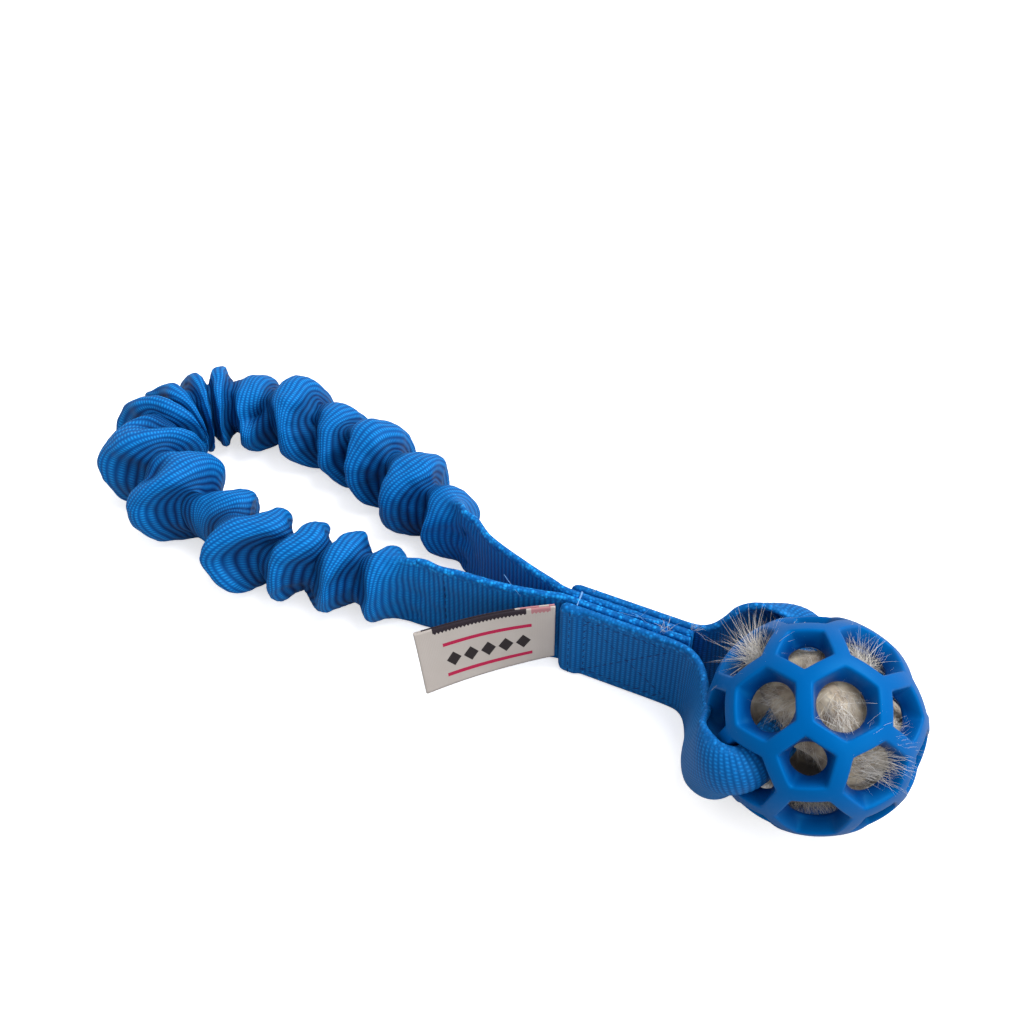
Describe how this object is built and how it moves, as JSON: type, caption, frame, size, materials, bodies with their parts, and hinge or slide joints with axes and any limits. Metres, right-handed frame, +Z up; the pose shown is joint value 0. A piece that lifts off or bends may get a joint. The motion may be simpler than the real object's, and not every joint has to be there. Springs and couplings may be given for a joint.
{
  "type": "dog tug toy",
  "caption": "Dog tug toy: gathered elastic webbing handle loop sewn to a strap that threads a lattice rubber ball with fur inside.",
  "frame": {"origin": "on the floor, in the middle of the bottom edge of the neck's front sleeve tail, which is the second of the four plies", "axes": "+X along the sewn neck towards the ball, +Y across the neck to its back, +Z up from the floor the toy lies on"},
  "size_m": [0.2496, 0.098, 0.0508],
  "materials": {
    "sleeve_webbing": "matt woven nylon with cross ribs, medium azure blue",
    "strap_webbing": "matt woven nylon with cross ribs, slightly darker azure blue",
    "bungee_rubber": "matt elastic core, hidden in the sleeve",
    "ball_rubber": "smooth satin azure rubber with soft highlights on its edges",
    "rabbit_fur": "soft fur, cream to taupe with white guard hairs",
    "label_tape": "matt off-white woven tape",
    "seam_thread": "blue polyester sewing thread"
  },
  "bodies": {
    "neck": {"sleeve_tail_front": "sleeve_webbing", "sleeve_tail_back": "sleeve_webbing", "strap_end_front": "strap_webbing", "strap_end_back": "strap_webbing", "box_stitch_front": "seam_thread", "box_stitch_back": "seam_thread", "hem_stitch": "seam_thread", "anchor_stitch_front": "seam_thread", "anchor_stitch_back": "seam_thread"},
    "handle_legs": {"sleeve_leg_front": "sleeve_webbing", "sleeve_leg_back": "sleeve_webbing", "bungee_leg_front": "bungee_rubber", "bungee_leg_back": "bungee_rubber"},
    "grip": {"sleeve_grip": "sleeve_webbing", "bungee_grip": "bungee_rubber"},
    "ball_strap": {"strap_loop": "strap_webbing"},
    "ball": {"ball": "ball_rubber", "fur_strip_upper": "rabbit_fur", "fur_strip_lower": "rabbit_fur"},
    "label": {"label": "label_tape"}
  },
  "joints": [
    {"name": "handle_swing", "type": "hinge", "parent": "neck", "child": "handle_legs", "pos_m": [-0.035, 0.00115, 0.0125], "axis": [0, 0, 1], "range_deg": [-15, 15], "deforming": ["sleeve_leg_front", "sleeve_leg_back", "bungee_leg_front", "bungee_leg_back"]},
    {"name": "handle_stretch", "type": "slide", "parent": "handle_legs", "child": "grip", "axis": [-0.9883, 0.1523, 0], "range_m": [0, 0.1], "stiffness_N_per_m": 250, "deforming": ["sleeve_leg_front", "sleeve_leg_back", "bungee_leg_front", "bungee_leg_back"]},
    {"name": "ball_swing", "type": "hinge", "parent": "neck", "child": "ball_strap", "pos_m": [0.017, 0.00115, 0.0125], "axis": [0, 0, 1], "range_deg": [-30, 30], "deforming": ["strap_loop"]},
    {"name": "ball_turn", "type": "hinge", "parent": "ball_strap", "child": "ball", "pos_m": [0.04316, -0.01166, 0.02808], "axis": [0.068, 0.9977, 0], "range_deg": [-25, 25], "deforming": ["strap_loop"]},
    {"name": "label_flap", "type": "hinge", "parent": "neck", "child": "label", "pos_m": [-0.018, -0.0029, 0.0125], "axis": [0, 0, 1], "range_deg": [-20, 45]}
  ]
}
